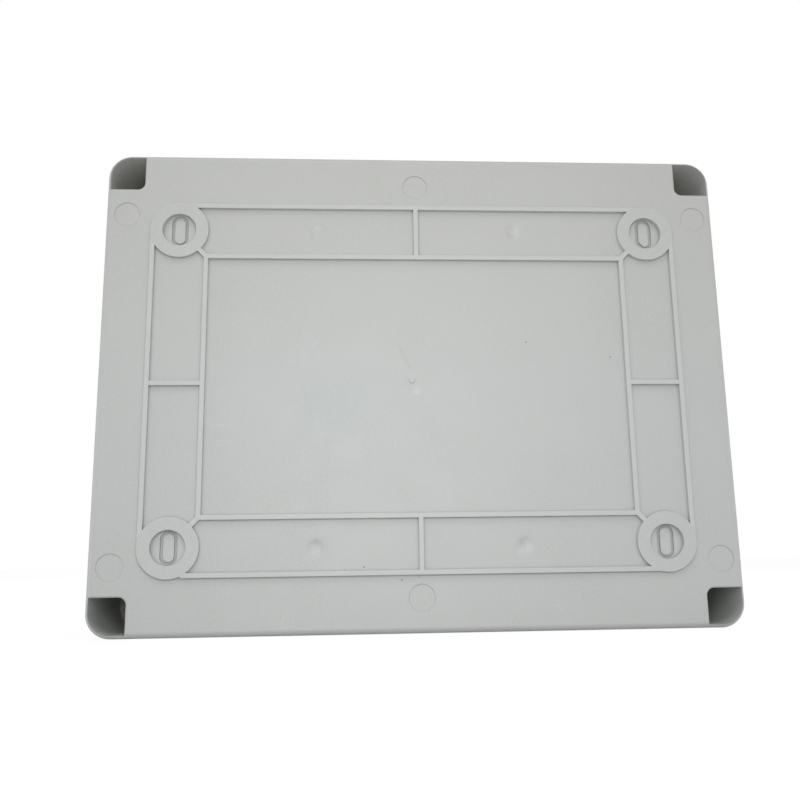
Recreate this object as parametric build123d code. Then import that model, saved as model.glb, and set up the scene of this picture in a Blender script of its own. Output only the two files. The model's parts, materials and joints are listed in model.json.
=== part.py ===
from build123d import *
import math
import os

# A weatherproof distribution box for one row of DIN modules, standing on its long side.
# +X is to the right seen from the front, -Y is the front (door), +Y is the wall side, +Z is up.
# The origin is at the middle of the box's lowest face. All sizes are in millimetres.
# "d" below is a depth measured from the wall plane (the tops of the rear ribs) towards the front.

# Outer box
box_w = 394.0
box_h = 302.0
corner_r = 15.0
wall = 3.5
back_t = 3.0
base_depth = 82.0
base_edge_r = 4.0
cover_edge_r = 5.0
seam_chamfer = 0.4

# Rear ribs, rings and fixing knock-outs
rib_h = 2.5
rib_w = 3.0
rib_edge_r = 0.35
fix_inset_x = 47.0
fix_inset_z = 51.8
ring_r = 18.35
ring_bore_r = 10.45
ring_over_x = 0.3
ring_over_z = 0.65
ring_recess = 3.7
rib_band = 33.7
notch_l = 7.9
notch_h = 0.8
slot_w = 6.5
slot_l = 16.5
slot_groove = 1.9
slot_groove_depth = 1.4
slot_clip = 4.6

# Corner pockets behind the cover screws, and the closed sockets that the screws lock into
pocket_w = 21.75
pocket_h = 21.7
pocket_rim = 2.0
pocket_edge_r = 0.8
pocket_inner_r = 4.6
lock_floor_t = 2.5
lock_room = 5.5
lock_plate_t = 4.5

# Moulding marks on the rear face; sinks show where the towers stand behind it
ejector_r = 8.0
ejector_side_inset = 13.4
ejector_end_inset = 41.0
ejector_mid_inset = 20.7
mark_depth = 0.35
gate_x = 4.0
gate_z = 1.8
gate_dish_r = 6.2
gate_dish_depth = 0.35
gate_nub_r = 1.7
gate_nub_h = 0.3
sink_r = 5.0
sink_depth = 0.6

# Inner towers for the rail frame and wells round the wall fixings
tower_x = 63.2
tower_inset_z = 50.75
tower_r = 6.5
tower_pilot_r = 1.7
tower_pilot_depth = 14.0
well_bore_r = 12.7
well_wall = 2.3
well_h = 6.5
cap_t = 2.0
cap_plug = 4.0
cap_gap = 0.3

# Cable knock-outs in the top, bottom and side walls
knockout_pitch = 62.0
knockout_count = 5
knockout_big_r = 16.2
knockout_small_r = 12.7
knockout_groove = 1.0
knockout_depth = 0.8
side_knockout_pitch = 90.0

# Seal between base and cover
tongue_in = 1.1
tongue_w = 1.3
tongue_h = 2.0
groove_gap = 0.3
gasket_h = 2.0

# DIN rail on two steel uprights
rail_stand = 57.5
rail_over = 8.5
rail_w = 35.0
rail_base_w = 27.0
rail_h = 7.5
rail_t = 1.0
rail_slot_w = 6.2
rail_slot_l = 15.0
rail_slot_pitch = 25.0
upright_w = 18.0
upright_t = 2.0
upright_over = 9.0
upright_corner_r = 3.0

# Modules on the rail
module_w = 17.5
module_gap = 0.2
main_modules = 4
breaker_modules = 2
breaker_count = 6
blank_modules = 2
module_h = 84.0
module_nose_h = 45.0
module_hook = 5.0
module_shoulder = 40.0
module_nose = 50.0
module_edge_r = 1.0
module_clip_gap = 0.3
terminal_r = 3.2
terminal_depth = 5.0
terminal_screw_h = 2.6
entry_w = 8.0
entry_h = 7.0
entry_depth = 3.5
entry_d = 14.0

# Switch levers
lever_pivot = 44.0
lever_drum_r = 8.0
lever_reach = 16.0
lever_t = 3.6
lever_w = 24.0
main_lever_w = 44.0
lever_on_deg = 45.0
lever_gap = 0.3
main_lever_side = 2.0
trunnion_r = 2.0
trunnion_l = 1.6
running_gap = 0.05
lever_well_h = 27.0
lever_well_depth = 3.4
button_w = 9.0
button_h = 8.0
button_proud = 2.4
button_len = 6.4
button_gap = 0.3
button_z = 13.0
button_side = 5.0
button_edge_r = 0.6

# Comb busbar below the breakers
comb_t = 1.5
comb_h = 12.0
comb_pin_w = 3.6
comb_drop = 4.0
comb_pin_in = 3.0
comb_cover_t = 1.4
comb_cover_h = 10.0

# Neutral and earth bars on plastic saddles
bar_l = 104.0
bar_t = 8.0
bar_h = 11.0
bar_d = 30.0
bar_inset_z = 38.0
bar_holes = 10
bar_hole_pitch = 10.0
bar_wire_r = 2.2
bar_screw_r = 2.4
bar_screw_proud = 1.0
bar_slot_depth = 1.0
saddle_w = 12.0
saddle_cheek = 3.5
saddle_x = 36.0
saddle_lip = 3.0

# Cover and its window
panel_t = 3.0
nose_proud = 2.0
window_gap = 0.5
window_side_gap = 0.75
recess_depth = 13.0
recess_wall = 2.5
recess_gap = 1.0
recess_r = 6.0
blank_lip = 3.2
blank_t = 1.5
blank_proud = 1.5
blank_score_w = 0.8
blank_score_depth = 0.6

# Door, hinge and turn latch
door_side = 12.5
door_low = 62.0
hinge_z = 62.0
door_t = 2.5
door_gap = 2.5
door_rim_back = 1.0
door_step = 1.0
door_corner_r = 5.0
door_edge_r = 1.0
knuckle_r = 5.0
knuckle_w = 14.0
knuckle_web = 8.0
hinge_x = 120.0
hinge_pin_r = 2.0
ear_t = 3.0
ear_gap = 0.3
ear_room = 1.5
knob_r = 9.0
knob_proud = 2.0
knob_edge_r = 0.6
latch_shaft_r = 4.0
latch_cam_l = 11.0
latch_cam_w = 6.0
latch_cam_t = 2.5
latch_cam_gap = 2.7
latch_slot_w = 2.0
latch_slot_depth = 1.0
latch_slot_l = 12.6
keeper_w = 12.0
keeper_post = 2.4
keeper_gap = 0.8
keeper_cam_gap = 1.3
keeper_hook = 5.5
keeper_hook_t = 2.0

# Quarter-turn cover screws
screw_head_r = 7.0
screw_head_h = 5.0
screw_shank_r = 4.0
screw_cam_l = 15.0
screw_cam_w = 4.4
screw_cam_t = 4.0
screw_play = 0.1
screw_seat = 4.5
cam_play = 0.3
driver_slot_w = 1.6
driver_slot_depth = 2.0
screw_edge_r = 0.6

# Small machine screws
bolt_r = 1.6
bolt_head_r = 3.8
bolt_head_h = 2.4
bolt_l = 12.0
bolt_slot_w = 1.0
bolt_gap = 0.3
nut_r = 3.4
nut_h = 2.6

# End stops on the rail
stop_h = 10.0
stop_w = 8.0
stop_foot = 12.0

# Depths worked out from the wall plane towards the front
back_face = rib_h
back_inner = back_face + back_t
mark_floor = back_face + mark_depth
parting = back_face + base_depth
rail_face = back_inner + rail_stand
upright_front = rail_face - rail_h
upright_back = upright_front - upright_t
panel_face = rail_face + module_nose - nose_proud
panel_back = panel_face - panel_t
cover_face = panel_face + recess_depth
door_back = rail_face + lever_pivot + lever_reach + door_gap
door_front = door_back + door_t
total_depth = door_front + knob_proud
lock_front = parting - lock_plate_t
lock_back = lock_front - lock_room
pocket_floor = lock_back - lock_floor_t

# Places worked out in the plane of the front, measured from the middle of the box
z_mid = box_h / 2
total_modules = main_modules + breaker_modules * breaker_count + blank_modules
row_w = total_modules * module_w
row_left = -row_w / 2
rail_l = row_w + 2 * rail_over
fix_x = box_w / 2 - fix_inset_x
fix_z = box_h / 2 - fix_inset_z
outer_rib_x = fix_x + ring_r - ring_over_x - rib_w / 2
outer_rib_z = fix_z + ring_r - ring_over_z - rib_w / 2
inner_rib_x = outer_rib_x - rib_band
inner_rib_z = outer_rib_z - rib_band
pocket_x = box_w / 2 - pocket_rim - pocket_w
pocket_z = box_h / 2 - pocket_rim - pocket_h
ejector_x = box_w / 2 - ejector_side_inset
ejector_z = box_h / 2 - ejector_end_inset
ejector_mid_z = box_h / 2 - ejector_mid_inset
tower_z = box_h / 2 - tower_inset_z
well_r = well_bore_r + well_wall
bar_z = box_h / 2 - bar_inset_z
saddle_h = bar_h + 2 * saddle_cheek
screw_x = (pocket_x + box_w / 2 - pocket_rim) / 2
screw_z = (pocket_z + box_h / 2 - pocket_rim) / 2
lock_room_r = math.hypot(screw_cam_l, screw_cam_w) / 2 + cam_play
nose_half = module_nose_h / 2
module_half = module_h / 2
door_half = row_w / 2 + door_side
door_top = hinge_z - knuckle_r - door_step
recess_half = door_half + recess_gap
recess_low = -door_low - recess_gap
recess_top = hinge_z + knuckle_r + ear_room
hinge_d = cover_face
keeper_low = -door_low + door_t + keeper_gap
knob_z = keeper_low + keeper_post + keeper_cam_gap + latch_cam_l
corners = [(sx, sz) for sx in (-1, 1) for sz in (-1, 1)]
notched_ring = (1, -1)
clipped_slot = (-1, 1)
corner_names = {(-1, -1): "low_left", (-1, 1): "high_left", (1, -1): "low_right", (1, 1): "high_right"}


def y_at(d):
    return total_depth / 2 - d


def slab(profile, d_from, d_to):
    plane = Plane(origin=(0, y_at(d_from), z_mid), x_dir=(1, 0, 0), z_dir=(0, -1, 0))
    return extrude(plane * profile, amount=d_to - d_from)


def side_prism(profile, x_from, x_to):
    plane = Plane(origin=(x_to, y_at(0), z_mid), x_dir=(0, -1, 0), z_dir=(-1, 0, 0))
    return extrude(plane * profile, amount=x_to - x_from)


def block(x_from, x_to, d_from, d_to, z_from, z_to):
    middle = Pos((x_from + x_to) / 2, y_at((d_from + d_to) / 2), z_mid + (z_from + z_to) / 2)
    return middle * Box(abs(x_to - x_from), abs(d_to - d_from), abs(z_to - z_from))


def rod_x(r, x_from, x_to, d, z):
    return Pos((x_from + x_to) / 2, y_at(d), z_mid + z) * Rot(0, 90, 0) * Cylinder(r, abs(x_to - x_from))


def rod_y(r, x, z, d_from, d_to):
    return Pos(x, y_at((d_from + d_to) / 2), z_mid + z) * Rot(90, 0, 0) * Cylinder(r, abs(d_to - d_from))


def rod_z(r, x, d, z_from, z_to):
    return Pos(x, y_at(d), z_mid + (z_from + z_to) / 2) * Cylinder(r, abs(z_to - z_from))


def rectangle(x_from, x_to, z_from, z_to, r=0):
    size = (abs(x_to - x_from), abs(z_to - z_from))
    shape = RectangleRounded(*size, r) if r else Rectangle(*size)
    return Pos((x_from + x_to) / 2, (z_from + z_to) / 2) * shape


def outline(inset=0.0):
    return RectangleRounded(box_w - 2 * inset, box_h - 2 * inset, corner_r - inset)


def corner_square(sx, sz, grow=0.0):
    reach = corner_r + box_w / 2 - pocket_x
    side = 2 * (reach + grow)
    middle = Pos(sx * (pocket_x + reach), sz * (pocket_z + reach))
    return middle * RectangleRounded(side, side, pocket_inner_r + grow)


def pocket(sx, sz):
    return outline(pocket_rim) & corner_square(sx, sz)


def cavity(grow=0.0):
    room = outline(wall - grow)
    for sx, sz in corners:
        room -= corner_square(sx, sz, wall - grow)
    return room


def knockout_row():
    first = -(knockout_count - 1) / 2
    return [(first + i) * knockout_pitch for i in range(knockout_count)]


def knockout_r(i):
    return knockout_big_r if i % 2 == 0 else knockout_small_r


# Base

def slot_sketch(grow=0.0):
    return SlotOverall(slot_l + 2 * grow, slot_w + 2 * grow, rotation=90)


def slot_pad(clipped):
    pad = slot_sketch()
    if clipped:
        pad -= Pos(slot_w / 2, -slot_l / 2) * Rot(0, 0, -45) * Rectangle(slot_clip, slot_l)
    return pad


def dent(x, z, r, depth):
    ball_r = (r ** 2 + depth ** 2) / (2 * depth)
    ball = Pos(x, y_at(back_face + depth - ball_r), z_mid + z) * Sphere(ball_r)
    return ball & rod_y(2 * r, x, z, back_face, back_inner)


def pocket_mouth(sx, sz):
    plane = Plane(origin=(0, y_at(back_face), z_mid), x_dir=(1, 0, 0), z_dir=(0, -1, 0))
    flare = extrude(plane * corner_square(sx, sz, pocket_edge_r), amount=pocket_edge_r, taper=45)
    return flare & slab(outline(pocket_rim), back_face, pocket_floor)


def rear_ribs():
    half = rib_w / 2
    ribs = Rectangle(2 * inner_rib_x + rib_w, 2 * inner_rib_z + rib_w)
    ribs -= Rectangle(2 * inner_rib_x - rib_w, 2 * inner_rib_z - rib_w)
    for side in (-1, 1):
        ribs += Pos(0, side * outer_rib_z) * Rectangle(2 * fix_x, rib_w)
        ribs += Pos(side * outer_rib_x, 0) * Rectangle(rib_w, 2 * fix_z)
        ribs += rectangle(-half, half, side * inner_rib_z, side * outer_rib_z)
        ribs += rectangle(side * inner_rib_x, side * outer_rib_x, -half, half)
    for sx, sz in corners:
        ring = Vector(sx * fix_x, sz * fix_z)
        start = Vector(sx * inner_rib_x, sz * inner_rib_z)
        middle = (start + ring) * 0.5
        angle = math.degrees(math.atan2(ring.Y - start.Y, ring.X - start.X))
        ribs += Pos(middle.X, middle.Y) * Rot(0, 0, angle) * Rectangle((ring - start).length, rib_w)
        if (sx, sz) == notched_ring:
            edge = sz * (outer_rib_z + rib_w / 2)
            ribs -= rectangle(ring.X - sx * notch_l, ring.X, edge - sz * notch_h, edge)
        ribs += Pos(ring.X, ring.Y) * Circle(ring_r)
    for sx, sz in corners:
        ribs -= Pos(sx * fix_x, sz * fix_z) * Circle(ring_bore_r)
    return ribs


def base_shell():
    body = slab(outline(), back_face, parting)
    body = fillet(body.faces().sort_by(Axis.Y)[-1].edges(), base_edge_r)
    body = chamfer(body.faces().sort_by(Axis.Y)[0].edges(), seam_chamfer)
    body -= slab(cavity(), back_inner, parting)
    body += slab(cavity(tongue_in + tongue_w) - cavity(tongue_in), parting, parting + tongue_h)
    for sx, sz in corners:
        body -= slab(pocket(sx, sz), back_face, pocket_floor)
        body -= pocket_mouth(sx, sz)
        body -= dent(sx * tower_x, sz * tower_z, sink_r, sink_depth)
        keyhole = Circle(screw_shank_r + screw_play)
        keyhole += Rectangle(screw_cam_l + 2 * cam_play, screw_cam_w + 2 * cam_play)
        body -= slab(Pos(sx * screw_x, sz * screw_z) * keyhole, lock_front, parting)
        body -= rod_y(lock_room_r, sx * screw_x, sz * screw_z, lock_back, lock_front)
    ribs = slab(rear_ribs(), 0, back_face)
    body += fillet(ribs.faces().sort_by(Axis.Y)[-1].edges(), rib_edge_r)
    for sx, sz in corners:
        x, z = sx * fix_x, sz * fix_z
        body -= rod_y(ring_bore_r, x, z, 0, ring_recess)
        groove = slot_sketch(slot_groove) - slot_pad((sx, sz) == clipped_slot)
        body -= slab(Pos(x, z) * groove, ring_recess, ring_recess + slot_groove_depth)
        body += rod_y(well_r, x, z, back_inner, back_inner + well_h)
        body -= rod_y(well_bore_r, x, z, back_inner, back_inner + well_h)
        tower = (sx * tower_x, sz * tower_z)
        body += rod_y(tower_r, *tower, back_inner, upright_back)
        body -= rod_y(tower_pilot_r, *tower, upright_back - tower_pilot_depth, upright_back)
        body -= rod_y(ejector_r, sx * ejector_x, sz * ejector_z, back_face, mark_floor)
    for side in (-1, 1):
        body -= rod_y(ejector_r, 0, side * ejector_mid_z, back_face, mark_floor)
    body -= dent(gate_x, gate_z, gate_dish_r, gate_dish_depth)
    body += rod_y(gate_nub_r, gate_x, gate_z, back_face - gate_nub_h, back_face + gate_dish_depth)
    for cut in knockout_rings(back_face + base_depth / 2):
        body -= cut
    return body


def knockout_rings(d):
    rings = []
    for i, x in enumerate(knockout_row()):
        r = knockout_r(i)
        for side in (-1, 1):
            face = side * box_h / 2
            ring = rod_z(r, x, d, face - side * knockout_depth, face)
            rings.append(ring - rod_z(r - knockout_groove, x, d, face - side * knockout_depth, face))
    for side in (-1, 1):
        face = side * box_w / 2
        for z in (-side_knockout_pitch / 2, side_knockout_pitch / 2):
            ring = rod_x(knockout_big_r, face - side * knockout_depth, face, d, z)
            inner_r = knockout_big_r - knockout_groove
            rings.append(ring - rod_x(inner_r, face - side * knockout_depth, face, d, z))
    return rings


def fixing_caps():
    caps = []
    for sx, sz in corners:
        x, z = sx * fix_x, sz * fix_z
        top = back_inner + well_h
        cap = rod_y(well_r, x, z, top, top + cap_t)
        cap += rod_y(well_bore_r - cap_gap, x, z, top - cap_plug, top)
        cap -= rod_y(well_bore_r - cap_gap - cap_t, x, z, top - cap_plug, top)
        caps.append(cap)
    return caps


# Rail frame

def bolt(x, z, seat, length):
    top = seat + bolt_head_h
    screw = rod_y(bolt_head_r, x, z, seat, top)
    screw += rod_y(bolt_r, x, z, seat - length, seat)
    half = bolt_slot_w / 2
    return screw - block(x - bolt_head_r, x + bolt_head_r, seat + bolt_head_h / 2, top, z - half, z + half)


def upright(side):
    half = tower_z + upright_over
    x = side * tower_x
    shape = rectangle(x - upright_w / 2, x + upright_w / 2, -half, half, upright_corner_r)
    strip = slab(shape, upright_back, upright_front)
    for z in (-tower_z, tower_z, 0):
        strip -= rod_y(bolt_r + bolt_gap, x, z, upright_back, upright_front)
    return strip


def din_rail():
    half, base = rail_w / 2, rail_base_w / 2
    web_front_d = upright_front + rail_t
    hat = rectangle(upright_front, web_front_d, -base, base)
    for side in (-1, 1):
        hat += rectangle(upright_front, rail_face, side * (base - rail_t), side * base)
        hat += rectangle(rail_face - rail_t, rail_face, side * (base - rail_t), side * half)
    rail = side_prism(hat, -rail_l / 2, rail_l / 2)
    reach = int((rail_l / 2 - rail_slot_l) / rail_slot_pitch)
    for i in range(-reach, reach + 1):
        x = i * rail_slot_pitch
        if min(abs(x - tower_x), abs(x + tower_x)) > rail_slot_l / 2 + bolt_head_r:
            rail -= slab(Pos(x, 0) * SlotOverall(rail_slot_l, rail_slot_w), upright_front, web_front_d)
    for side in (-1, 1):
        rail -= rod_y(bolt_r + bolt_gap, side * tower_x, 0, upright_front, web_front_d)
    return rail


def frame_screws():
    return [bolt(sx * tower_x, sz * tower_z, upright_front, bolt_l) for sx, sz in corners]


def rail_bolts():
    seat = upright_front + rail_t
    return [bolt(side * tower_x, 0, seat, rail_t + upright_t + nut_h) for side in (-1, 1)]


def rail_nuts():
    nuts = []
    for side in (-1, 1):
        hexagon = RegularPolygon(nut_r, 6) - Circle(bolt_r + running_gap)
        nuts.append(slab(Pos(side * tower_x, 0) * hexagon, upright_back - nut_h, upright_back))
    return nuts


# Modules

def module_profile():
    hook = rail_face - module_hook
    shoulder = rail_face + module_shoulder
    nose = rail_face + module_nose
    shape = rectangle(hook, shoulder, -module_half, module_half)
    shape += rectangle(shoulder, nose, -nose_half, nose_half)
    shape = fillet(shape.vertices(), module_edge_r)
    grip = rail_w / 2 + module_clip_gap
    behind = rail_face - rail_t - module_clip_gap
    shape -= rectangle(behind, rail_face, -grip, grip)
    shape -= rectangle(hook, behind, -grip + 2 * rail_t, grip - 2 * rail_t)
    return shape


def pole_centres(x_from, modules):
    return [x_from + (i + 0.5) * module_w for i in range(modules)]


def module_body(x_from, modules, lever_x, width):
    body = side_prism(module_profile(), x_from + module_gap / 2, x_from + modules * module_w - module_gap / 2)
    shoulder = rail_face + module_shoulder
    nose = rail_face + module_nose
    for x in pole_centres(x_from, modules):
        for side in (-1, 1):
            z = side * (nose_half + module_half) / 2
            body -= rod_y(terminal_r, x, z, shoulder - terminal_depth, shoulder)
            middle = rail_face + entry_d
            edge = side * module_half
            body -= block(x - entry_w / 2, x + entry_w / 2, middle - entry_h / 2, middle + entry_h / 2,
                          edge - side * entry_depth, edge)
    half = width / 2 + lever_gap
    pivot = rail_face + lever_pivot
    body -= rod_x(lever_drum_r + lever_gap, lever_x - half, lever_x + half, pivot, 0)
    body -= block(lever_x - half, lever_x + half, nose - lever_well_depth, nose,
                  -lever_well_h / 2, lever_well_h / 2)
    axle = half + trunnion_l
    body -= rod_x(trunnion_r + running_gap, lever_x - axle, lever_x + axle, pivot, 0)
    return body


def lever(lever_x, width):
    half = width / 2
    pivot = rail_face + lever_pivot
    arm = rectangle(0, lever_reach - lever_t / 2, -lever_t / 2, lever_t / 2)
    arm += Pos(lever_reach - lever_t / 2, 0) * Circle(lever_t / 2)
    arm += Circle(lever_drum_r)
    turned = Pos(pivot, 0) * Rot(0, 0, lever_on_deg) * arm
    handle = side_prism(turned, lever_x - half, lever_x + half)
    handle += rod_x(trunnion_r, lever_x - half - trunnion_l, lever_x + half + trunnion_l, pivot, 0)
    return handle


def main_lever_x():
    return row_left + main_modules * module_w - main_lever_w / 2 - lever_gap - trunnion_l - main_lever_side


def button_x():
    return row_left + button_side + button_w / 2


def button_hole(body):
    nose = rail_face + module_nose
    half_w, half_h = button_w / 2 + button_gap, button_h / 2 + button_gap
    depth = button_len + button_proud
    return body - block(button_x() - half_w, button_x() + half_w, nose - depth, nose,
                        button_z - half_h, button_z + half_h)


def test_button():
    nose = rail_face + module_nose
    front = nose + button_proud
    place = rectangle(button_x() - button_w / 2, button_x() + button_w / 2,
                      button_z - button_h / 2, button_z + button_h / 2, module_edge_r)
    cap = slab(place, front - button_len, front)
    return fillet(cap.faces().sort_by(Axis.Y)[0].edges(), button_edge_r)


def breaker_left(i):
    return row_left + (main_modules + breaker_modules * i) * module_w


def breaker_lever_x(i):
    return breaker_left(i) + breaker_modules * module_w / 2


def blank_left():
    return breaker_left(breaker_count)


def terminal_screws():
    bottom = rail_face + module_shoulder - terminal_depth
    top = bottom + terminal_screw_h
    screws = []
    r = terminal_r - running_gap
    for x in pole_centres(row_left, total_modules - blank_modules):
        for side in (-1, 1):
            z = side * (nose_half + module_half) / 2
            screw = rod_y(r, x, z, bottom, top)
            half = bolt_slot_w / 2
            screws.append(screw - block(x - r, x + r, (bottom + top) / 2, top, z - half, z + half))
    return screws


def end_stop(x_from, x_to):
    grip = rail_w / 2 + module_clip_gap
    behind = rail_face - rail_t - module_clip_gap
    hook = rail_face - module_hook
    shape = rectangle(hook, rail_face + stop_h, -grip - stop_foot / 2, grip + stop_foot / 2)
    shape -= rectangle(behind, rail_face, -grip, grip)
    shape -= rectangle(hook, behind, -grip + 2 * rail_t, grip - 2 * rail_t)
    return side_prism(shape, x_from, x_to)


# Comb busbar

def comb_edges():
    d = rail_face + entry_d
    top = -module_half - comb_drop
    return d - comb_t / 2, d + comb_t / 2, top - comb_h, top


def comb_ends():
    inset = module_w / 2 - comb_pin_w
    return breaker_left(0) + inset, blank_left() - inset


def comb_busbar():
    d_from, d_to, low, top = comb_edges()
    bar = block(*comb_ends(), d_from, d_to, low, top)
    for i in range(breaker_count):
        for x in pole_centres(breaker_left(i), breaker_modules):
            tip = -module_half + comb_pin_in
            bar += block(x - comb_pin_w / 2, x + comb_pin_w / 2, d_from, d_to, top, tip)
    return bar


def comb_insulator():
    d_from, d_to, low, _ = comb_edges()
    left, right = comb_ends()
    top = low + comb_cover_h
    sleeve = block(left - comb_cover_t, right + comb_cover_t, d_from - comb_cover_t, d_to + comb_cover_t,
                   low - comb_cover_t, top)
    return sleeve - block(left, right, d_from, d_to, low, top)


# Neutral and earth bars

def bar_places():
    first = -(bar_holes - 1) / 2
    return [(first + i) * bar_hole_pitch for i in range(bar_holes)]


def terminal_bar(side):
    z = side * bar_z
    bar = block(-bar_l / 2, bar_l / 2, bar_d, bar_d + bar_t, z - bar_h / 2, z + bar_h / 2)
    for x in bar_places():
        bar -= rod_z(bar_wire_r, x, bar_d + bar_t / 2, z - bar_h / 2, z + bar_h / 2)
        bar -= rod_y(bar_screw_r, x, z, bar_d + bar_t / 2, bar_d + bar_t)
    return bar


def bar_screws():
    screws = []
    for side in (-1, 1):
        z = side * bar_z
        for x in bar_places():
            r = bar_screw_r - running_gap
            front = bar_d + bar_t + bar_screw_proud
            screw = rod_y(r, x, z, bar_d + bar_t / 2 + bar_wire_r, front)
            half = bolt_slot_w / 2
            screws.append(screw - block(x - r, x + r, front - bar_slot_depth, front, z - half, z + half))
    return screws


def saddle(x, z):
    half_w, half_h = saddle_w / 2, saddle_h / 2
    post = block(x - half_w, x + half_w, back_inner, bar_d + saddle_lip, z - half_h, z + half_h)
    return post - block(x - half_w, x + half_w, bar_d, bar_d + saddle_lip, z - bar_h / 2, z + bar_h / 2)


def saddles(side):
    return [saddle(x, side * bar_z) for x in (-saddle_x, saddle_x)]


# Cover

def recess_shape(grow=0.0):
    side = recess_half + grow
    return rectangle(-side, side, recess_low - grow, recess_top + grow, recess_r + grow)


def window_shape():
    side = row_w / 2 + window_side_gap
    height = nose_half + window_gap
    return rectangle(-side, side, -height, height, module_edge_r)


def cover_frame():
    body = slab(outline(), parting, cover_face)
    body = fillet(body.faces().sort_by(Axis.Y)[0].edges(), cover_edge_r)
    body = chamfer(body.faces().sort_by(Axis.Y)[-1].edges(), seam_chamfer)
    inner_face = cover_face - wall
    body -= slab(cavity(), parting, inner_face)
    body += slab(recess_shape(recess_wall) & outline(wall), panel_back, inner_face)
    body -= slab(recess_shape(), panel_face, cover_face)
    body -= slab(window_shape(), panel_back, panel_face)
    body -= slab(cavity(tongue_in + tongue_w + groove_gap) - cavity(tongue_in - groove_gap),
                 parting, parting + tongue_h + gasket_h)
    seat = cover_face - screw_head_h
    for sx, sz in corners:
        x, z = sx * screw_x, sz * screw_z
        body -= slab(pocket(sx, sz), parting, seat - screw_seat)
        body -= rod_y(screw_shank_r + screw_play, x, z, seat - screw_seat, seat)
        body -= rod_y(screw_head_r + screw_play, x, z, seat, cover_face)
    for side in (-1, 1):
        for edge in (-1, 1):
            body += hinge_ear(side * hinge_x, edge)
    body += keeper()
    return body


def hinge_ear(x, edge):
    inner = x + edge * (knuckle_w / 2 + ear_gap)
    outer = inner + edge * ear_t
    ear = rod_x(knuckle_r, inner, outer, hinge_d, hinge_z)
    ear += block(inner, outer, panel_face, hinge_d, hinge_z, recess_top)
    return ear - rod_x(hinge_pin_r + running_gap, inner, outer, hinge_d, hinge_z)


def keeper():
    cam_front = panel_face + latch_cam_gap + latch_cam_t
    hook = cam_front + keeper_gap
    half = keeper_w / 2
    front = hook + keeper_hook_t
    post = block(-half, half, panel_face, front, keeper_low, keeper_low + keeper_post)
    return post + block(-half, half, hook, front, keeper_low, keeper_low + keeper_post + keeper_hook)


def cover_gasket():
    ring = cavity(tongue_in + tongue_w + groove_gap / 2) - cavity(tongue_in - groove_gap / 2)
    return slab(ring, parting + tongue_h, parting + tongue_h + gasket_h)


def blanking_strip():
    left = blank_left() + module_gap
    right = left + blank_modules * module_w - 2 * module_gap
    height = nose_half + window_gap / 2
    strip = slab(rectangle(left, right, -height, height), panel_back, panel_face + blank_proud)
    height += blank_lip
    strip += slab(rectangle(left, right, -height, height), panel_back - blank_t, panel_back)
    middle = (left + right) / 2
    half = blank_score_w / 2
    front = panel_face + blank_proud
    return strip - block(middle - half, middle + half, front - blank_score_depth, front, -height, height)


# Door

def door():
    face = rectangle(-door_half, door_half, -door_low, door_top, door_corner_r)
    body = slab(face, panel_face + door_rim_back, door_front)
    body = fillet(body.faces().sort_by(Axis.Y)[0].edges(), door_edge_r)
    room = rectangle(-door_half + door_t, door_half - door_t, -door_low + door_t, door_top - door_t,
                     door_corner_r - door_t)
    body -= slab(room, panel_face + door_rim_back, door_back)
    for side in (-1, 1):
        x = side * hinge_x
        half = knuckle_w / 2
        body += rod_x(knuckle_r, x - half, x + half, hinge_d, hinge_z)
        web = knuckle_web / 2
        body += block(x - half, x + half, hinge_d - web, hinge_d + web, door_top - door_t, hinge_z)
        body -= rod_x(hinge_pin_r + running_gap, x - half, x + half, hinge_d, hinge_z)
    return body - rod_y(latch_shaft_r + running_gap, 0, knob_z, door_back, door_front)


def hinge_pins():
    reach = knuckle_w / 2 + ear_gap + ear_t
    return [rod_x(hinge_pin_r, side * hinge_x - reach, side * hinge_x + reach, hinge_d, hinge_z)
            for side in (-1, 1)]


def door_latch():
    knob = rod_y(knob_r, 0, knob_z, door_front, total_depth)
    knob = fillet(knob.faces().sort_by(Axis.Y)[0].edges(), knob_edge_r)
    half = latch_slot_w / 2
    knob -= block(-latch_slot_l / 2, latch_slot_l / 2, total_depth - latch_slot_depth, total_depth,
                  knob_z - half, knob_z + half)
    cam_back = panel_face + latch_cam_gap
    knob += rod_y(latch_shaft_r, 0, knob_z, cam_back, door_front)
    half = latch_cam_w / 2
    knob += block(0, latch_cam_l, cam_back, cam_back + latch_cam_t, knob_z - half, knob_z + half)
    return knob


# Quarter-turn screws

def cover_screw(sx, sz):
    x, z = sx * screw_x, sz * screw_z
    seat = cover_face - screw_head_h
    screw = rod_y(screw_head_r, x, z, seat, cover_face)
    screw = fillet(screw.faces().sort_by(Axis.Y)[0].edges(), screw_edge_r)
    half = driver_slot_w / 2
    screw -= block(x - screw_head_r, x + screw_head_r, cover_face - driver_slot_depth, cover_face,
                   z - half, z + half)
    cam_front = lock_front - cam_play
    screw += rod_y(screw_shank_r, x, z, cam_front - screw_cam_t, seat)
    half = screw_cam_l / 2
    screw += block(x - half, x + half, cam_front - screw_cam_t, cam_front,
                   z - screw_cam_w / 2, z + screw_cam_w / 2)
    return screw


os.makedirs("parts", exist_ok=True)


def save(name, *solids):
    shape = solids[0] if len(solids) == 1 else Compound(children=list(solids))
    export_step(shape, f"parts/{name}.step")


save("base_shell", base_shell())
save("fixing_caps", *fixing_caps())
save("rail_upright_left", upright(-1))
save("rail_upright_right", upright(1))
save("din_rail", din_rail())
save("frame_screws", *frame_screws())
save("rail_bolts", *rail_bolts())
save("rail_nuts", *rail_nuts())

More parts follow.
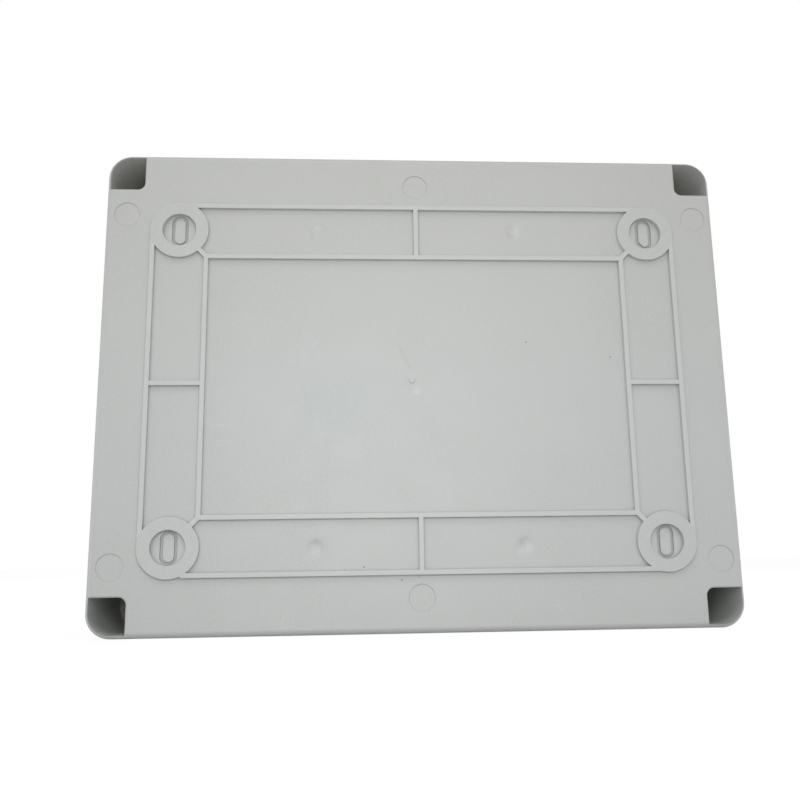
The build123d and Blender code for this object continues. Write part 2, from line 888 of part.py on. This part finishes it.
main_body = module_body(row_left, main_modules, main_lever_x(), main_lever_w)
save("main_switch_body", button_hole(main_body))
save("main_switch_lever", lever(main_lever_x(), main_lever_w))
save("main_switch_test_button", test_button())
for i in range(breaker_count):
    save(f"breaker_{i + 1}_body", module_body(breaker_left(i), breaker_modules, breaker_lever_x(i), lever_w))
    save(f"breaker_{i + 1}_lever", lever(breaker_lever_x(i), lever_w))
save("terminal_screws", *terminal_screws())
save("end_stops", end_stop(row_left - stop_w, row_left), end_stop(blank_left(), blank_left() + stop_w))
save("comb_busbar", comb_busbar())
save("comb_insulator", comb_insulator())
save("neutral_bar", terminal_bar(1))
save("earth_bar", terminal_bar(-1))
save("neutral_bar_saddles", *saddles(1))
save("earth_bar_saddles", *saddles(-1))
save("bar_screws", *bar_screws())

save("cover_frame", cover_frame())
save("cover_gasket", cover_gasket())
save("blanking_strip", blanking_strip())
save("hinge_pins", *hinge_pins())
for corner in corners:
    save(f"cover_screw_{corner_names[corner]}", cover_screw(*corner))
save("door", door())
save("door_latch", door_latch())
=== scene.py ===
import json
import math

import bmesh
import bpy
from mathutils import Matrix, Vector


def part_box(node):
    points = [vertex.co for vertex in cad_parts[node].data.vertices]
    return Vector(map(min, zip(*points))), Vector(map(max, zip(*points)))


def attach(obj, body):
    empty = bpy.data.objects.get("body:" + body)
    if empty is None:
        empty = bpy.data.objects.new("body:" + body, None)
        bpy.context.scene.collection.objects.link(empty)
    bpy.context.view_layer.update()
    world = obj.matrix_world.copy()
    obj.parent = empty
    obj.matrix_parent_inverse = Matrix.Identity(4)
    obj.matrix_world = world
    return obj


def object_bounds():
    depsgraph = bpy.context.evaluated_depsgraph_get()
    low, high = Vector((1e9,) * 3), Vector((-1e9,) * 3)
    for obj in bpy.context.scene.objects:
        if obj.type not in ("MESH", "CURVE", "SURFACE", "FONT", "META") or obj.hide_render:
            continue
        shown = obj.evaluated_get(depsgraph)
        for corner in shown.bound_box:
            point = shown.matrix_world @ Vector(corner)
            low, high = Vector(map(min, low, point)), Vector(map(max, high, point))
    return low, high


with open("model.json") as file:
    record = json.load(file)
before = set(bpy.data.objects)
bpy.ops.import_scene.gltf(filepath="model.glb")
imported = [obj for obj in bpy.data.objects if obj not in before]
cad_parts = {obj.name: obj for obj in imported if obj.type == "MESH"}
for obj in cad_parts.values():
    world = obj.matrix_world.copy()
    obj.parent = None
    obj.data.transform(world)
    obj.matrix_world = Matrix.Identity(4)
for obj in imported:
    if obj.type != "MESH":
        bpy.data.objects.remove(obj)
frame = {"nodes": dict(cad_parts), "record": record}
cad_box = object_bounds()

# A distribution box for one row of DIN modules, seen from its wall side.
# Lengths are in metres. A mark on the rear face is placed by (x, z).
# A tone is the share of the base colour's brightness. A pattern's size is the width of one patch.

# Camera, fitted to the photo
camera_place = (0.0410, 0.5654, 0.0441)
camera_turn = (100.81, 0.81, 176.81)
camera_lens = 37.23
sensor_width = 36.0

# Light: name, degrees round from the wall side towards +X, degrees up, distance, size, power
lamps = (
    ("wall_side_key", 2.5, 1.0, 0.6, 0.25, 1.13),
    ("left_edge_fill", 84.0, 3.0, 2.0, 0.4, 4.4),
    ("right_edge_fill", -84.0, 3.0, 2.0, 0.4, 3.0),
    ("overhead", 16.0, 56.0, 3.4, 1.8, 18.5),
    ("door_side_key", 205.0, 26.0, 1.6, 0.8, 15.0),
)
lamps_look_at = (0.0, 0.0, 0.150)
ambient = 0.5
floor_half = 6.0
floor_levels = (186, 190)
floor_patch = 0.4
floor_glow = 0.75
glow_level = 1.2

# Edges, and painted shade in closed-in places, with how far round a point the surroundings count
bevel_r = 0.0004
foot_reach = 0.002
foot_tone = 0.77
corner_reach = 0.008
corner_tone = 0.965
pocket_reach = 0.03
pocket_tint = (0.93, 0.93, 0.82)

# Moulded plastic: flow clouds, fine mottle, scuffs in patches and a slight wave
flow_size = 0.045
mottle_size = 0.0016
scuff_size = 0.012
scuff_line = 0.012
scuff_patch = 0.02
scuff_area = 0.09
scuff_tone = 1.35
gloss_patch = 0.02
gloss_change = 0.04
wave_size = 0.05
wave_depth = 0.00004

# Depths on the wall side, where a mark starts to show and where it is full
wall_y = cad_box[1][1]
rib_from_y = wall_y - 0.0008
rib_y = wall_y - 0.0001
rear_from_y = wall_y - 0.0035
rear_y = wall_y - 0.0028
well_from_y = wall_y - 0.01
well_y = wall_y - 0.007

# Painted highlight on the ribs outside the rings, and painted light lifting the wells inside them
rib_highlight_tone = 1.08
ring_r = 0.0184
ring_tone_share = 0.2
ring_soft = 0.0004
well_r = 0.01
painted_well_light = (1.055, 1.055, 1.055, 1.0)

# Marks on the rear face, with painted shade and painted highlights on its soft sinks
pale_clouds = ((0.0704, 0.169), (0.0548, 0.1155), (0.1099, 0.1406))
cloud_r = 0.024
cloud_patch = 0.006
cloud_tone = 1.05
warm_z = (0.15, 0.27)
warm = (1.0, 0.988, 0.968, 1.0)
cool_places = ((0.055, 0.137),)
cool_r = 0.055
cool = (0.98, 1.0, 0.992, 1.0)
weld_line = ((0.0124, 0.1767), (0.0039, 0.1581))
weld_half_w = 0.0016
weld_tone = 0.975
# Painted shade: dark soft spots on the shaded side of three of the soft sinks
sink_shade_spots = ((0.0629, 0.0535), (-0.0616, 0.0525), (-0.0615, 0.2488))
sink_shade_r = 0.0034
sink_shade_tone = 0.93
# Painted highlights: pale patchy spots on the lit side of the soft sinks and below the gate nub
highlight_spots = ((0.0627, 0.2518), (-0.0645, 0.2509), (0.063, 0.0489), (-0.0643, 0.0501),
           (-0.0605, 0.0469), (0.0013, 0.1459))
highlight_r = 0.0038
highlight_tone = 1.22
rubs = (((0.0838, 0.006), (0.0798, 0.0145)), ((-0.0807, 0.0169), (-0.0852, 0.0087)),
        ((0.1276, 0.124), (0.1162, 0.1258)), ((0.1255, 0.1154), (0.1129, 0.1153)))
rub_half_w = 0.0006
rub_tone = 1.13
broken_patch = 0.0013
specks = ((0.012, 0.0312), (0.0018, 0.0334), (0.0345, 0.0391), (-0.1224, 0.1676),
          (-0.0689, 0.1774), (0.0458, 0.0375))
speck_r = 0.0009
speck_tone = 0.35
sinks = ((0.0632, 0.2511), (-0.0632, 0.2511), (0.0632, 0.0509), (-0.0632, 0.0509))
sink_soft_r = 0.008
sink_soft_depth = 0.0006

# The circuit card above the window, and the print on it and on the modules
breakers = range(1, 7)
print_t = 0.00015
card_t = 0.0004
card_low = 0.0085
card_h = 0.0115
card_over = 0.001
blank_proud = 0.0015
module_shoulder_z = 0.0195
rule_w = 0.0003
number_h = 0.005
mark_h = 0.0032
mark_z = 0.0185
state_inset = 0.0035
state_w = 0.004
state_h = 0.0026
figure_share = 0.72


def linear(*levels):
    """A display colour, 0 to 255, as the linear colour that a shader takes."""
    return (*[((level / 255 + 0.055) / 1.055) ** 2.4 for level in levels], 1.0)


def shade(colour, tone):
    return (*[min(1.0, channel * tone) for channel in colour[:3]], 1.0)


def tinted_by(colour, tint):
    return (*[channel * share for channel, share in zip(colour, tint)], 1.0)


class Finish:
    """A node material, with short ways to add patterns, colour and relief."""

    def __init__(self, name, roughness, metallic=0.0):
        self.name = name
        self.material = bpy.data.materials.new(name)
        self.material.use_nodes = True
        self.tree = self.material.node_tree
        self.shader = self.tree.nodes["Principled BSDF"]
        self.shader.inputs["Roughness"].default_value = roughness
        self.shader.inputs["Metallic"].default_value = metallic
        self.place = self.node("ShaderNodeTexCoord").outputs["Object"]
        rounded = self.node("ShaderNodeBevel", samples=6)
        rounded.inputs["Radius"].default_value = bevel_r
        self.relief = rounded.outputs["Normal"]
        self.join(self.relief, self.shader.inputs["Normal"])

    def node(self, kind, **settings):
        made = self.tree.nodes.new(kind)
        for name, value in settings.items():
            setattr(made, name, value)
        return made

    def join(self, output, socket):
        self.tree.links.new(output, socket)

    def pattern(self, kind, size, stretch, **settings):
        """A texture node whose patches have this size, drawn out along each axis by its stretch."""
        mapping = self.node("ShaderNodeMapping")
        mapping.inputs["Scale"].default_value = [1 / (size * along) for along in stretch]
        self.join(self.place, mapping.inputs["Vector"])
        made = self.node(kind, **settings)
        made.inputs["Scale"].default_value = 1.0
        self.join(mapping.outputs["Vector"], made.inputs["Vector"])
        return made

    def noise(self, size, detail=2.0, stretch=(1, 1, 1)):
        made = self.pattern("ShaderNodeTexNoise", size, stretch)
        made.inputs["Detail"].default_value = detail
        return made.outputs["Fac"]

    def cells(self, size, feature="F1", stretch=(1, 1, 1)):
        """Distance to the nearest cell's point, or to its edge."""
        return self.pattern("ShaderNodeTexVoronoi", size, stretch, feature=feature).outputs["Distance"]

    def remap(self, value, low, high, to_low=0.0, to_high=1.0, soft=False):
        made = self.node("ShaderNodeMapRange", interpolation_type="SMOOTHSTEP" if soft else "LINEAR")
        ends = (("From Min", low), ("From Max", high), ("To Min", to_low), ("To Max", to_high))
        for name, number in ends:
            made.inputs[name].default_value = number
        self.join(value, made.inputs["Value"])
        return made.outputs["Result"]

    def clouds(self, size, detail=2.0, to_low=0.0, to_high=1.0):
        """Noise whose usual range is drawn out from to_low to to_high."""
        return self.remap(self.noise(size, detail), 0.3, 0.7, to_low, to_high)

    def combine(self, operation, first, second):
        made = self.node("ShaderNodeMath", operation=operation)
        self.join(first, made.inputs[0])
        self.join(second, made.inputs[1])
        return made.outputs["Value"]

    def product(self, first, second):
        return self.combine("MULTIPLY", first, second)

    def along(self, axis):
        parts = self.node("ShaderNodeSeparateXYZ")
        self.join(self.place, parts.inputs["Vector"])
        return parts.outputs[axis]

    def away_from(self, x, z):
        """Distance from the line along y through (x, z)."""
        flat = self.node("ShaderNodeVectorMath", operation="MULTIPLY")
        self.join(self.place, flat.inputs[0])
        flat.inputs[1].default_value = (1.0, 0.0, 1.0)
        made = self.node("ShaderNodeVectorMath", operation="DISTANCE")
        self.join(flat.outputs["Vector"], made.inputs[0])
        made.inputs[1].default_value = (x, 0.0, z)
        return made.outputs["Value"]

    def spots(self, places, inner, outer):
        """1 inside each round spot, falling softly to 0 at its outer radius."""
        near = [self.remap(self.away_from(*place), outer, inner, soft=True) for place in places]
        total = near[0]
        for one in near[1:]:
            total = self.combine("MAXIMUM", total, one)
        return total

    def stroke(self, start, end, half_w):
        """1 along a thin ellipse whose foci are start and end, falling to 0 at its edge."""
        length = math.dist(start, end)
        total = self.combine("ADD", self.away_from(*start), self.away_from(*end))
        return self.remap(total, length + 2 * half_w ** 2 / length, length, soft=True)

    def blend(self, amount, first, second, kind="MIX"):
        """A colour between first and second, each a fixed colour or another node's output."""
        made = self.node("ShaderNodeMix", data_type="RGBA", blend_type=kind)
        self.join(amount, made.inputs["Factor"])
        for name, value in (("A", first), ("B", second)):
            socket = [s for s in made.inputs if s.name == name and s.type == "RGBA"][0]
            if isinstance(value, tuple):
                socket.default_value = value
            else:
                self.join(value, socket)
        return [s for s in made.outputs if s.type == "RGBA"][0]

    def toned(self, amount, base, colour, tone):
        """The base output, turning into the colour at this tone where amount is 1."""
        return self.blend(amount, base, shade(colour, tone))

    def grime(self, reach, low, high, lit, shaded):
        """The first colour, turning into the second, darker one where the piece itself closes in within
        reach: painted shade in hollows and corners.
        """
        made = self.node("ShaderNodeAmbientOcclusion", samples=8, only_local=True)
        made.inputs["Distance"].default_value = reach
        return self.blend(self.remap(made.outputs["AO"], low, high), shaded, lit)

    def colour(self, output):
        self.join(output, self.shader.inputs["Base Color"])

    def rough(self, output):
        self.join(output, self.shader.inputs["Roughness"])

    def bump(self, height, depth):
        made = self.node("ShaderNodeBump")
        made.inputs["Distance"].default_value = depth
        self.join(height, made.inputs["Height"])
        self.join(self.relief, made.inputs["Normal"])
        self.relief = made.outputs["Normal"]
        self.join(self.relief, self.shader.inputs["Normal"])


def ring_centres():
    """The middles of the four fixing rings as (x, z), from the record's wall slots."""
    slots = [mount for mount in frame["record"]["mounts"] if mount["name"] == "wall_slots"][0]
    x, _, z = slots["pos_m"]
    half_x = slots["dims"]["spacing_x_mm"] / 1000 / 2
    half_z = slots["dims"]["spacing_y_mm"] / 1000 / 2
    return [(x + side * half_x, z + level * half_z) for level in (1, -1) for side in (1, -1)]


def rear_marks(finish, tinted, colour):
    """The shell's wall side: clouds, warm and cool drift, marks, painted shade and highlights on the soft
    sinks, painted light in the wells and a painted highlight along the ribs.
    """
    rear = finish.remap(finish.along("Y"), rear_from_y, rear_y)
    patchy = finish.remap(finish.noise(cloud_patch, 3.0), 0.4, 0.7)
    cloud = finish.product(finish.spots(pale_clouds, 0.0, cloud_r), patchy)
    tinted = finish.toned(finish.product(rear, cloud), tinted, colour, cloud_tone)
    warmth = finish.remap(finish.along("Z"), *warm_z, soft=True)
    tinted = finish.blend(warmth, tinted, warm, "MULTIPLY")
    cooled = finish.product(rear, finish.spots(cool_places, 0.0, cool_r))
    tinted = finish.blend(cooled, tinted, cool, "MULTIPLY")
    weld = finish.product(rear, finish.stroke(*weld_line, weld_half_w))
    tinted = finish.toned(weld, tinted, colour, weld_tone)
    broken = finish.product(rear, finish.remap(finish.noise(broken_patch), 0.4, 0.6))
    # Painted shade on the soft sinks
    shaded_dents = finish.product(rear, finish.spots(sink_shade_spots, 0.0, sink_shade_r))
    tinted = finish.toned(shaded_dents, tinted, colour, sink_shade_tone)
    # Painted highlights on the soft sinks and the gate
    highlighted = finish.product(broken, finish.spots(highlight_spots, 0.0, highlight_r))
    tinted = finish.toned(highlighted, tinted, colour, highlight_tone)
    for start, end in rubs:
        rub = finish.product(broken, finish.stroke(start, end, rub_half_w))
        tinted = finish.toned(rub, tinted, colour, rub_tone)
    dots = finish.product(rear, finish.spots(specks, 0.0, speck_r))
    tinted = finish.toned(dots, tinted, colour, speck_tone)
    finish.bump(finish.product(rear, finish.spots(sinks, 0.0, sink_soft_r)), -sink_soft_depth)
    rings = ring_centres()
    # Painted light: the well floors inside the rings are lifted above the shell's own colour
    behind = finish.remap(finish.along("Y"), well_from_y, well_y)
    wells = finish.product(behind, finish.spots(rings, well_r, well_r + ring_soft))
    tinted = finish.blend(wells, tinted, painted_well_light, "MULTIPLY")
    # Painted highlight: the rib tops are made lighter, fully outside the rings and a little inside them
    on_rings = finish.spots(rings, ring_r, ring_r + ring_soft)
    beyond_rings = finish.remap(on_rings, 0.0, 1.0, 1.0, ring_tone_share)
    tops = finish.remap(finish.along("Y"), rib_from_y, rib_y)
    return finish.toned(finish.product(beyond_rings, tops), tinted, colour, rib_highlight_tone)


def scuffs_on(finish, amount):
    """Light scuff lines, kept to patches of a few areas."""
    lines = finish.cells(scuff_size, "DISTANCE_TO_EDGE", (1.0, 1.0, 7.0))
    patches = finish.remap(finish.noise(scuff_patch, 1.0), 0.66, 0.74)
    scratch = finish.product(finish.remap(lines, scuff_line, 0.0), patches)
    areas = finish.remap(finish.noise(scuff_area, 1.0), 0.5, 0.6, 0.0, 10 * amount)
    return finish.product(scratch, areas)


def moulded(name, colour, roughness, grain, grain_depth, tone=0.02, scuffs=0.03, marks=None):
    """Moulded plastic: a fine spark-eroded grain, faint flow clouds and a few light scuffs."""
    finish = Finish(name, roughness)
    flow = finish.clouds(flow_size, 3.0)
    tinted = finish.blend(flow, shade(colour, 1 - tone), shade(colour, 1 + tone))
    mottle = finish.remap(finish.noise(mottle_size), 0.35, 0.65)
    tinted = finish.toned(mottle, tinted, colour, 1 + 2 * tone)
    tinted = finish.toned(scuffs_on(finish, scuffs), tinted, colour, scuff_tone)
    if marks:
        tinted = marks(finish, tinted, colour)
    # Painted shade: darker, olive-tinted colour deep in pockets, and darker colour in corners and at the
    # feet of ribs
    tinted = finish.grime(pocket_reach, 0.0, 0.15, tinted, tinted_by(colour, pocket_tint))
    tinted = finish.grime(corner_reach, 0.3, 0.85, tinted, shade(colour, corner_tone))
    finish.colour(finish.grime(foot_reach, 0.4, 0.85, tinted, shade(colour, foot_tone)))
    gloss = (roughness - gloss_change, roughness + gloss_change)
    finish.rough(finish.clouds(gloss_patch, 2.0, *gloss))
    finish.bump(finish.noise(grain), grain_depth)
    finish.bump(finish.noise(wave_size, 1.0), wave_depth)
    return finish


def metal(name, colour, roughness, streak, dull):
    """Plated or drawn metal: fine streaks along the length and cloudy tarnish."""
    finish = Finish(name, roughness, metallic=1.0)
    finish.colour(finish.blend(finish.clouds(0.012, 3.0), shade(colour, 1 - dull), colour))
    lines = finish.noise(0.0004, 3.0, streak)
    finish.rough(finish.remap(lines, 0.3, 0.7, roughness - 0.08, roughness + 0.1))
    finish.bump(lines, 0.000008)
    return finish


def smoked_clear():
    """Smoked polycarbonate: glossy, grey all through, with faint hairline marks."""
    finish = Finish("smoked_clear", 0.05)
    finish.shader.inputs["IOR"].default_value = 1.585
    finish.shader.inputs["Transmission Weight"].default_value = 1.0
    tint = linear(186, 189, 194)
    finish.colour(finish.blend(finish.clouds(0.03), shade(tint, 0.97), tint))
    finish.rough(finish.remap(finish.noise(0.006, 3.0), 0.45, 0.75, 0.03, 0.09))
    finish.bump(finish.noise(0.06, 1.0), 0.00006)
    return finish


def foam_seal():
    """Closed-cell foam for the gasket."""
    finish = Finish("rubber_seal", 0.9)
    cells = finish.cells(0.0006)
    black = linear(38, 38, 39)
    finish.colour(finish.blend(cells, shade(black, 0.7), black))
    finish.bump(cells, 0.0001)
    return finish


def finishes():
    """Every material, by the record's slot or by its use in this scene."""
    grey, dark = linear(192, 194.4, 192.7), linear(66, 68, 70)
    zinc, along_x, along_z = linear(205, 208, 212), (12.0, 1.0, 1.0), (1.0, 1.0, 12.0)
    made = (
        moulded("shell", grey, 0.5, 0.0006, 0.000012, scuffs=0.012, marks=rear_marks),
        moulded("dark_plastic", dark, 0.42, 0.0005, 0.000015),
        moulded("module_plastic", linear(222, 223, 219), 0.4, 0.0004, 0.00001, tone=0.012),
        moulded("lever_plastic", linear(34, 52, 88), 0.33, 0.0004, 0.000008, tone=0.04),
        moulded("neutral_blue", linear(44, 92, 176), 0.4, 0.0004, 0.00001, tone=0.04),
        moulded("earth_green", linear(46, 132, 72), 0.4, 0.0004, 0.00001, tone=0.04),
        metal("zinc_steel", zinc, 0.32, along_x, 0.12),
        metal("copper", linear(224, 148, 112), 0.3, along_x, 0.2),
        metal("brass_bar", linear(214, 182, 106), 0.28, along_x, 0.15),
        foam_seal(),
        smoked_clear(),
        moulded("card", linear(236, 236, 232), 0.6, 0.0003, 0.000006, tone=0.01, scuffs=0.0),
        moulded("ink", linear(48, 50, 54), 0.55, 0.0003, 0.000004, tone=0.05, scuffs=0.0),
        metal("upright_steel", zinc, 0.34, along_z, 0.12),
    )
    return {finish.name: finish for finish in made}


def dress(made):
    """Gives each carried-over piece the finish that its record slot names."""
    for part in frame["record"]["subparts"]:
        node, slot = part["node"], part["material_slot"]
        if node.startswith("rail_upright"):
            slot = "upright_steel"
        piece = frame["nodes"][node]
        piece.data.materials.clear()
        piece.data.materials.append(made[slot].material)


def add_piece(name, mesh, body, finish):
    """Puts a mesh into the scene with its finish, on the body that it rides."""
    mesh.materials.append(finish.material)
    piece = bpy.data.objects.new(name, mesh)
    bpy.context.scene.collection.objects.link(piece)
    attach(piece, body)


def plates(name, places, y_back, thickness, body, finish):
    """Thin plates on a front face, one for each (x_from, x_to, z_from, z_to), with bevelled front edges."""
    corners, faces = [], []
    inset = thickness / 2
    for x0, x1, z0, z1 in places:
        start = len(corners)
        for y, shrink in ((y_back, 0.0), (y_back - thickness, inset)):
            corners += [(x0 + shrink, y, z0 + shrink), (x1 - shrink, y, z0 + shrink),
                        (x1 - shrink, y, z1 - shrink), (x0 + shrink, y, z1 - shrink)]
        faces += [(start, start + 3, start + 2, start + 1), (start + 4, start + 5, start + 6, start + 7)]
        faces += [(start + i, start + (i + 1) % 4, start + 4 + (i + 1) % 4, start + 4 + i) for i in range(4)]
    mesh = bpy.data.meshes.new(name)
    mesh.from_pydata(corners, [], faces)
    add_piece(name, mesh, body, finish)


def figure(name, text, x, y, z, height):
    """One printed figure on a front face, as a text object."""
    curve = bpy.data.curves.new(name, "FONT")
    curve.body = text
    curve.size = height / figure_share
    curve.align_x = "CENTER"
    curve.align_y = "CENTER"
    curve.extrude = print_t / 2
    letter = bpy.data.objects.new(name, curve)
    letter.rotation_euler = (math.radians(90), 0, 0)
    letter.location = (x, y - print_t / 2, z)
    bpy.context.scene.collection.objects.link(letter)
    return letter


def figures(name, marks, y, body, finish):
    """Printed figures on a front face, one for each (text, x, z, height), joined into one thin mesh."""
    letters = [figure(name, text, x, y, z, height) for text, x, z, height in marks]
    bpy.context.view_layer.update()
    whole = bmesh.new()
    for letter in letters:
        mesh = bpy.data.meshes.new_from_object(letter)
        mesh.transform(letter.matrix_world)
        whole.from_mesh(mesh)
        bpy.data.meshes.remove(mesh)
        bpy.data.objects.remove(letter)
    mesh = bpy.data.meshes.new(name)
    whole.to_mesh(mesh)
    whole.free()
    add_piece(name, mesh, body, finish)


def circuit_card(card_finish, ink):
    """The card above the window: one field for each circuit, with its number."""
    panel_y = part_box("blanking_strip")[0].y + blank_proud
    first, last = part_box("main_switch_body")[0].x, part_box("blanking_strip")[1].x
    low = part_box("breaker_1_body")[1].z - module_shoulder_z + card_low
    place = (first, last, low, low + card_h)
    plates("circuit_card", [place], panel_y, card_t, "cover", card_finish)
    front = panel_y - card_t
    ends = [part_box(f"breaker_{i}_body")[0].x for i in breakers] + [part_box("breaker_6_body")[1].x]
    rules = [(x - rule_w / 2, x + rule_w / 2, low + card_over, low + card_h - card_over) for x in ends]
    plates("card_rules", rules, front, print_t, "cover", ink)
    middle_x = [sum(corner.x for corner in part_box(f"breaker_{i}_body")) / 2 for i in breakers]
    marks = [(str(i), x, low + card_h / 2, number_h) for i, x in zip(breakers, middle_x)]
    figures("circuit_numbers", marks, front, "cover", ink)


def switch_marks(ink, window_finish):
    """I above and O below each lever, and a small state window beside it."""
    upper, lower, states = [], [], []
    for name in ["main_switch"] + [f"breaker_{i}" for i in breakers]:
        (_, y0, z0), (x1, _, z1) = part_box(f"{name}_body")
        lever_low, lever_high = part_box(f"{name}_lever")
        x, z = (lever_low.x + lever_high.x) / 2, (z0 + z1) / 2
        upper.append(("I", x, z + mark_z, mark_h))
        lower.append(("O", x, z - mark_z, mark_h))
        side = x1 - state_inset
        states.append((side - state_w, side, z + mark_z - state_h / 2, z + mark_z + state_h / 2))
    figures("on_off_marks", upper + lower, y0, "base", ink)
    plates("state_windows", states, y0, print_t, "base", window_finish)


def photo_camera():
    """The camera that took the photo."""
    data = bpy.data.cameras.new("camera")
    data.sensor_width = sensor_width
    data.lens = camera_lens
    camera = bpy.data.objects.new("camera", data)
    camera.location = camera_place
    camera.rotation_euler = [math.radians(turn) for turn in camera_turn]
    bpy.context.scene.collection.objects.link(camera)
    bpy.context.scene.camera = camera


def soft_light(name, side_deg, height_deg, distance, size, power):
    """A square soft light that looks at the middle of the object."""
    side, height = math.radians(side_deg), math.radians(height_deg)
    level = math.cos(height)
    away = Vector((math.sin(side) * level, math.cos(side) * level, math.sin(height)))
    data = bpy.data.lights.new(name, "AREA")
    data.shape = "SQUARE"
    data.size = size
    data.energy = power
    lamp = bpy.data.objects.new(name, data)
    lamp.location = Vector(lamps_look_at) + away * distance
    lamp.rotation_euler = away.to_track_quat("Z", "Y").to_euler()
    bpy.context.scene.collection.objects.link(lamp)


def backdrop_rays(tree):
    """1 for camera, glossy and transmission rays, and 0 for the rays that light the object."""
    path = tree.nodes.new("ShaderNodeLightPath")
    total = path.outputs["Is Camera Ray"]
    for name in ("Is Glossy Ray", "Is Transmission Ray"):
        either = tree.nodes.new("ShaderNodeMath")
        either.operation = "MAXIMUM"
        tree.links.new(total, either.inputs[0])
        tree.links.new(path.outputs[name], either.inputs[1])
        total = either.outputs["Value"]
    return total


def studio_world():
    """White to the camera and in reflections, and a plain level of light on the object."""
    world = bpy.data.worlds.new("studio")
    bpy.context.scene.world = world
    world.use_nodes = True
    tree = world.node_tree
    level = tree.nodes.new("ShaderNodeMapRange")
    level.inputs["To Min"].default_value = ambient
    level.inputs["To Max"].default_value = 1.0
    tree.links.new(backdrop_rays(tree), level.inputs["Value"])
    tree.links.new(level.outputs["Result"], tree.nodes["Background"].inputs["Strength"])
    tree.nodes["Background"].inputs["Color"].default_value = (1.0, 1.0, 1.0, 1.0)


def studio_floor():
    """A white floor that shows white to the camera and keeps part of the object's shadow."""
    mesh = bpy.data.meshes.new("floor")
    corners = [(x * floor_half, y * floor_half, 0.0) for x, y in ((-1, -1), (1, -1), (1, 1), (-1, 1))]
    mesh.from_pydata(corners, [], [(0, 1, 2, 3)])
    floor = bpy.data.objects.new("floor", mesh)
    bpy.context.scene.collection.objects.link(floor)
    finish = Finish("floor", 0.9)
    low, high = [linear(level, level, level) for level in floor_levels]
    finish.colour(finish.blend(finish.clouds(floor_patch), low, high))
    glow = finish.node("ShaderNodeEmission")
    glow.inputs["Strength"].default_value = glow_level
    mix = finish.node("ShaderNodeMixShader")
    amount = finish.remap(backdrop_rays(finish.tree), 0.0, 1.0, 0.0, floor_glow)
    finish.join(amount, mix.inputs["Fac"])
    finish.join(finish.shader.outputs["BSDF"], mix.inputs[1])
    finish.join(glow.outputs["Emission"], mix.inputs[2])
    finish.join(mix.outputs["Shader"], finish.tree.nodes["Material Output"].inputs["Surface"])
    mesh.materials.append(finish.material)


photo_camera()
made = finishes()
dress(made)
circuit_card(made["card"], made["ink"])
switch_marks(made["ink"], made["earth_green"])
for lamp in lamps:
    soft_light(*lamp)
studio_world()
studio_floor()
bpy.context.scene.view_settings.view_transform = "Standard"
